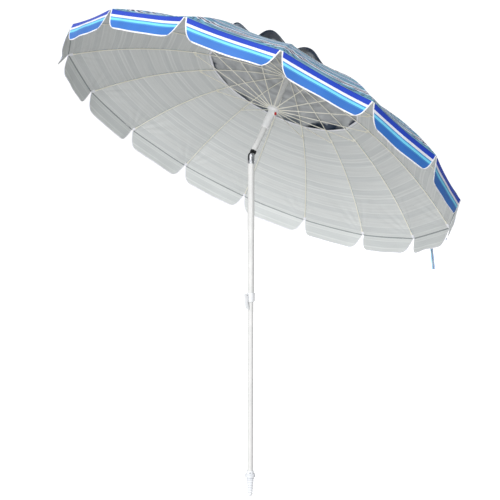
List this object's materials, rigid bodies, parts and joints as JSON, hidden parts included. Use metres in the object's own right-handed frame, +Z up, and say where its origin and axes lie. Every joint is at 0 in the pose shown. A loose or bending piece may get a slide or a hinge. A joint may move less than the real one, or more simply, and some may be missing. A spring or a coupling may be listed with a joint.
{
  "type": "beach umbrella",
  "caption": "Vented beach umbrella with tilting canopy, sliding runner on struts and ribs, telescoping clamped pole and screw-in sand anchor",
  "frame": {"origin": "Tip of the sand anchor, on the axis of the lower pole", "axes": "+Z runs up the lower pole. The canopy leans 29.3 degrees from +Z, towards the direction 34 degrees from +X towards +Y"},
  "size_m": [1.8532, 1.9399, 2.2209],
  "materials": {
    "pole_enamel": "white baked enamel on aluminium tube",
    "anchor_plastic": "white moulded plastic",
    "clamp_plastic": "white moulded plastic",
    "hub_plastic": "white moulded plastic",
    "dark_plastic": "black glass-filled plastic",
    "knuckle_metal": "die-cast alloy",
    "steel": "plated steel",
    "red_plastic": "red moulded plastic",
    "rib_fibreglass": "cream-white fibreglass rod",
    "canopy_cloth": "woven polyester, silver coated inside, striped outside",
    "cap_cloth": "woven polyester, silver coated inside",
    "valance_cloth": "woven polyester in blue and white bands",
    "strap_webbing": "striped woven ribbon"
  },
  "bodies": {
    "root": {"lower_pole": "pole_enamel", "sand_anchor": "anchor_plastic", "anchor_screw": "steel", "pole_plug": "dark_plastic"},
    "swivel_guide": {"guide_ring": "dark_plastic"},
    "main_pole": {"main_pole": "pole_enamel", "clamp_collar": "clamp_plastic", "clamp_pin": "steel", "tilt_fork": "knuckle_metal", "tilt_pin": "steel", "tilt_spring": "steel"},
    "clamp_lever": {"clamp_lever": "clamp_plastic"},
    "tilt_button": {"tilt_button": "steel"},
    "canopy_pole": {"canopy_pole": "pole_enamel", "tilt_tongue": "dark_plastic", "top_hub": "hub_plastic", "hub_wire": "steel", "finial": "hub_plastic", "canopy": "canopy_cloth", "vent_cap": "cap_cloth", "valance": "valance_cloth", "tie_strap": "strap_webbing"},
    "runner": {"runner": "hub_plastic", "runner_wire": "steel", "release_spring": "steel"},
    "release_button": {"release_button": "red_plastic"},
    "rib_01": {"rib_01": "rib_fibreglass"},
    "strut_01": {"strut_01": "rib_fibreglass"},
    "rib_02": {"rib_02": "rib_fibreglass"},
    "strut_02": {"strut_02": "rib_fibreglass"},
    "rib_03": {"rib_03": "rib_fibreglass"},
    "strut_03": {"strut_03": "rib_fibreglass"},
    "rib_04": {"rib_04": "rib_fibreglass"},
    "strut_04": {"strut_04": "rib_fibreglass"},
    "rib_05": {"rib_05": "rib_fibreglass"},
    "strut_05": {"strut_05": "rib_fibreglass"},
    "rib_06": {"rib_06": "rib_fibreglass"},
    "strut_06": {"strut_06": "rib_fibreglass"},
    "rib_07": {"rib_07": "rib_fibreglass"},
    "strut_07": {"strut_07": "rib_fibreglass"},
    "rib_08": {"rib_08": "rib_fibreglass"},
    "strut_08": {"strut_08": "rib_fibreglass"},
    "rib_09": {"rib_09": "rib_fibreglass"},
    "strut_09": {"strut_09": "rib_fibreglass"},
    "rib_10": {"rib_10": "rib_fibreglass"},
    "strut_10": {"strut_10": "rib_fibreglass"},
    "rib_11": {"rib_11": "rib_fibreglass"},
    "strut_11": {"strut_11": "rib_fibreglass"},
    "rib_12": {"rib_12": "rib_fibreglass"},
    "strut_12": {"strut_12": "rib_fibreglass"},
    "rib_13": {"rib_13": "rib_fibreglass"},
    "strut_13": {"strut_13": "rib_fibreglass"},
    "rib_14": {"rib_14": "rib_fibreglass"},
    "strut_14": {"strut_14": "rib_fibreglass"},
    "rib_15": {"rib_15": "rib_fibreglass"},
    "strut_15": {"strut_15": "rib_fibreglass"},
    "rib_16": {"rib_16": "rib_fibreglass"},
    "strut_16": {"strut_16": "rib_fibreglass"}
  },
  "joints": [
    {"name": "pole_swivel", "type": "hinge", "parent": "root", "child": "swivel_guide", "pos_m": [0, 0, 1.1], "axis": [0, 0, 1], "continuous": true},
    {"name": "pole_extension", "type": "slide", "parent": "swivel_guide", "child": "main_pole", "axis": [0, 0, 1], "range_m": [-0.44, 0]},
    {"name": "clamp_lever_flip", "type": "hinge", "parent": "main_pole", "child": "clamp_lever", "pos_m": [-0.02212, -0.01549, 0.987], "axis": [-0.5736, 0.8192, 0], "range_deg": [0, 150]},
    {"name": "canopy_tilt", "type": "hinge", "parent": "main_pole", "child": "canopy_pole", "pos_m": [0, 0, 1.648], "axis": [-0.5592, 0.829, 0], "range_deg": [-29.3, 0]},
    {"name": "tilt_button_press", "type": "slide", "parent": "main_pole", "child": "tilt_button", "axis": [-0.9659, 0.2588, 0], "range_m": [0, 0.0025], "stiffness_N_per_m": 400, "springref_m": -0.001, "deforming": ["tilt_spring"]},
    {"name": "runner_slide", "type": "slide", "parent": "canopy_pole", "child": "runner", "axis": [0.4057, 0.2737, 0.8721], "range_m": [-0.12, 0], "deforming": ["canopy", "vent_cap", "valance", "tie_strap"]},
    {"name": "release_button_press", "type": "slide", "parent": "runner", "child": "release_button", "axis": [-0.7811, 0.5992, 0.1754], "range_m": [0, 0.0025], "stiffness_N_per_m": 400, "springref_m": -0.001, "deforming": ["release_spring"]},
    {"name": "rib_hinge_01", "type": "hinge", "parent": "canopy_pole", "child": "rib_01", "pos_m": [0.1927, 0.13599, 2.02022], "axis": [0.6973, -0.7095, -0.1017], "range_deg": [-8.16, 0]},
    {"name": "strut_hinge_01", "type": "hinge", "parent": "runner", "child": "strut_01", "pos_m": [0.12089, 0.08756, 1.86587], "axis": [0.6973, -0.7095, -0.1017], "range_deg": [0, 8.18]},
    {"name": "rib_hinge_02", "type": "hinge", "parent": "canopy_pole", "child": "rib_02", "pos_m": [0.18521, 0.14133, 2.02203], "axis": [0.8703, -0.407, -0.2772], "range_deg": [-8.16, 0]},
    {"name": "strut_hinge_02", "type": "hinge", "parent": "runner", "child": "strut_02", "pos_m": [0.1134, 0.09289, 1.86767], "axis": [0.8703, -0.407, -0.2772], "range_deg": [0, 8.18]},
    {"name": "rib_hinge_03", "type": "hinge", "parent": "canopy_pole", "child": "rib_03", "pos_m": [0.17671, 0.14347, 2.02531], "axis": [0.9109, -0.0425, -0.4104], "range_deg": [-8.16, 0]},
    {"name": "strut_hinge_03", "type": "hinge", "parent": "runner", "child": "strut_03", "pos_m": [0.1049, 0.09503, 1.87096], "axis": [0.9109, -0.0425, -0.4104], "range_deg": [0, 8.18]},
    {"name": "rib_hinge_04", "type": "hinge", "parent": "canopy_pole", "child": "rib_04", "pos_m": [0.16848, 0.14211, 2.02957], "axis": [0.8128, 0.3284, -0.4812], "range_deg": [-8.16, 0]},
    {"name": "strut_hinge_04", "type": "hinge", "parent": "runner", "child": "strut_04", "pos_m": [0.09667, 0.09367, 1.87521], "axis": [0.8128, 0.3284, -0.4812], "range_deg": [0, 8.18]},
    {"name": "rib_hinge_05", "type": "hinge", "parent": "canopy_pole", "child": "rib_05", "pos_m": [0.16178, 0.13744, 2.03415], "axis": [0.5909, 0.6494, -0.4787], "range_deg": [-8.16, 0]},
    {"name": "strut_hinge_05", "type": "hinge", "parent": "runner", "child": "strut_05", "pos_m": [0.08997, 0.089, 1.8798], "axis": [0.5909, 0.6494, -0.4787], "range_deg": [0, 8.18]},
    {"name": "rib_hinge_06", "type": "hinge", "parent": "canopy_pole", "child": "rib_06", "pos_m": [0.15763, 0.13018, 2.03836], "axis": [0.2791, 0.8715, -0.4033], "range_deg": [-8.16, 0]},
    {"name": "strut_hinge_06", "type": "hinge", "parent": "runner", "child": "strut_06", "pos_m": [0.08582, 0.08174, 1.88401], "axis": [0.2791, 0.8715, -0.4033], "range_deg": [0, 8.18]},
    {"name": "rib_hinge_07", "type": "hinge", "parent": "canopy_pole", "child": "rib_07", "pos_m": [0.15665, 0.12143, 2.04156], "axis": [-0.0752, 0.9609, -0.2665], "range_deg": [-8.16, 0]},
    {"name": "strut_hinge_07", "type": "hinge", "parent": "runner", "child": "strut_07", "pos_m": [0.08484, 0.07299, 1.8872], "axis": [-0.0752, 0.9609, -0.2665], "range_deg": [0, 8.18]},
    {"name": "rib_hinge_08", "type": "hinge", "parent": "canopy_pole", "child": "rib_08", "pos_m": [0.15901, 0.11253, 2.04326], "axis": [-0.4181, 0.904, -0.0892], "range_deg": [-8.16, 0]},
    {"name": "strut_hinge_08", "type": "hinge", "parent": "runner", "child": "strut_08", "pos_m": [0.0872, 0.06409, 1.8889], "axis": [-0.4181, 0.904, -0.0892], "range_deg": [0, 8.18]},
    {"name": "rib_hinge_09", "type": "hinge", "parent": "canopy_pole", "child": "rib_09", "pos_m": [0.16433, 0.10483, 2.0432], "axis": [-0.6973, 0.7095, 0.1017], "range_deg": [-8.16, 0]},
    {"name": "strut_hinge_09", "type": "hinge", "parent": "runner", "child": "strut_09", "pos_m": [0.09252, 0.05639, 1.88884], "axis": [-0.6973, 0.7095, 0.1017], "range_deg": [0, 8.18]},
    {"name": "rib_hinge_10", "type": "hinge", "parent": "canopy_pole", "child": "rib_10", "pos_m": [0.17182, 0.0995, 2.04139], "axis": [-0.8703, 0.407, 0.2772], "range_deg": [-8.16, 0]},
    {"name": "strut_hinge_10", "type": "hinge", "parent": "runner", "child": "strut_10", "pos_m": [0.10001, 0.05106, 1.88703], "axis": [-0.8703, 0.407, 0.2772], "range_deg": [0, 8.18]},
    {"name": "rib_hinge_11", "type": "hinge", "parent": "canopy_pole", "child": "rib_11", "pos_m": [0.18032, 0.09735, 2.03811], "axis": [-0.9109, 0.0425, 0.4104], "range_deg": [-8.16, 0]},
    {"name": "strut_hinge_11", "type": "hinge", "parent": "runner", "child": "strut_11", "pos_m": [0.10851, 0.04891, 1.88375], "axis": [-0.9109, 0.0425, 0.4104], "range_deg": [0, 8.18]},
    {"name": "rib_hinge_12", "type": "hinge", "parent": "canopy_pole", "child": "rib_12", "pos_m": [0.18855, 0.09871, 2.03385], "axis": [-0.8128, -0.3284, 0.4812], "range_deg": [-8.16, 0]},
    {"name": "strut_hinge_12", "type": "hinge", "parent": "runner", "child": "strut_12", "pos_m": [0.11674, 0.05028, 1.87949], "axis": [-0.8128, -0.3284, 0.4812], "range_deg": [0, 8.18]},
    {"name": "rib_hinge_13", "type": "hinge", "parent": "canopy_pole", "child": "rib_13", "pos_m": [0.19525, 0.10338, 2.02927], "axis": [-0.5909, -0.6494, 0.4787], "range_deg": [-8.16, 0]},
    {"name": "strut_hinge_13", "type": "hinge", "parent": "runner", "child": "strut_13", "pos_m": [0.12344, 0.05494, 1.87491], "axis": [-0.5909, -0.6494, 0.4787], "range_deg": [0, 8.18]},
    {"name": "rib_hinge_14", "type": "hinge", "parent": "canopy_pole", "child": "rib_14", "pos_m": [0.1994, 0.11064, 2.02506], "axis": [-0.2791, -0.8715, 0.4033], "range_deg": [-8.16, 0]},
    {"name": "strut_hinge_14", "type": "hinge", "parent": "runner", "child": "strut_14", "pos_m": [0.12759, 0.0622, 1.8707], "axis": [-0.2791, -0.8715, 0.4033], "range_deg": [0, 8.18]},
    {"name": "rib_hinge_15", "type": "hinge", "parent": "canopy_pole", "child": "rib_15", "pos_m": [0.20038, 0.11939, 2.02186], "axis": [0.0752, -0.9609, 0.2665], "range_deg": [-8.16, 0]},
    {"name": "strut_hinge_15", "type": "hinge", "parent": "runner", "child": "strut_15", "pos_m": [0.12857, 0.07095, 1.8675], "axis": [0.0752, -0.9609, 0.2665], "range_deg": [0, 8.18]},
    {"name": "rib_hinge_16", "type": "hinge", "parent": "canopy_pole", "child": "rib_16", "pos_m": [0.19802, 0.12829, 2.02016], "axis": [0.4181, -0.904, 0.0892], "range_deg": [-8.16, 0]},
    {"name": "strut_hinge_16", "type": "hinge", "parent": "runner", "child": "strut_16", "pos_m": [0.12621, 0.07985, 1.86581], "axis": [0.4181, -0.904, 0.0892], "range_deg": [0, 8.18]}
  ],
  "couplings": [
    {"joint": "rib_hinge_01", "follows": "runner_slide", "rad_per_m": 1.173},
    {"joint": "strut_hinge_01", "follows": "runner_slide", "rad_per_m": -1.1749},
    {"joint": "rib_hinge_02", "follows": "runner_slide", "rad_per_m": 1.173},
    {"joint": "strut_hinge_02", "follows": "runner_slide", "rad_per_m": -1.1749},
    {"joint": "rib_hinge_03", "follows": "runner_slide", "rad_per_m": 1.173},
    {"joint": "strut_hinge_03", "follows": "runner_slide", "rad_per_m": -1.1749},
    {"joint": "rib_hinge_04", "follows": "runner_slide", "rad_per_m": 1.173},
    {"joint": "strut_hinge_04", "follows": "runner_slide", "rad_per_m": -1.1749},
    {"joint": "rib_hinge_05", "follows": "runner_slide", "rad_per_m": 1.173},
    {"joint": "strut_hinge_05", "follows": "runner_slide", "rad_per_m": -1.1749},
    {"joint": "rib_hinge_06", "follows": "runner_slide", "rad_per_m": 1.173},
    {"joint": "strut_hinge_06", "follows": "runner_slide", "rad_per_m": -1.1749},
    {"joint": "rib_hinge_07", "follows": "runner_slide", "rad_per_m": 1.173},
    {"joint": "strut_hinge_07", "follows": "runner_slide", "rad_per_m": -1.1749},
    {"joint": "rib_hinge_08", "follows": "runner_slide", "rad_per_m": 1.173},
    {"joint": "strut_hinge_08", "follows": "runner_slide", "rad_per_m": -1.1749},
    {"joint": "rib_hinge_09", "follows": "runner_slide", "rad_per_m": 1.173},
    {"joint": "strut_hinge_09", "follows": "runner_slide", "rad_per_m": -1.1749},
    {"joint": "rib_hinge_10", "follows": "runner_slide", "rad_per_m": 1.173},
    {"joint": "strut_hinge_10", "follows": "runner_slide", "rad_per_m": -1.1749},
    {"joint": "rib_hinge_11", "follows": "runner_slide", "rad_per_m": 1.173},
    {"joint": "strut_hinge_11", "follows": "runner_slide", "rad_per_m": -1.1749},
    {"joint": "rib_hinge_12", "follows": "runner_slide", "rad_per_m": 1.173},
    {"joint": "strut_hinge_12", "follows": "runner_slide", "rad_per_m": -1.1749},
    {"joint": "rib_hinge_13", "follows": "runner_slide", "rad_per_m": 1.173},
    {"joint": "strut_hinge_13", "follows": "runner_slide", "rad_per_m": -1.1749},
    {"joint": "rib_hinge_14", "follows": "runner_slide", "rad_per_m": 1.173},
    {"joint": "strut_hinge_14", "follows": "runner_slide", "rad_per_m": -1.1749},
    {"joint": "rib_hinge_15", "follows": "runner_slide", "rad_per_m": 1.173},
    {"joint": "strut_hinge_15", "follows": "runner_slide", "rad_per_m": -1.1749},
    {"joint": "rib_hinge_16", "follows": "runner_slide", "rad_per_m": 1.173},
    {"joint": "strut_hinge_16", "follows": "runner_slide", "rad_per_m": -1.1749}
  ]
}
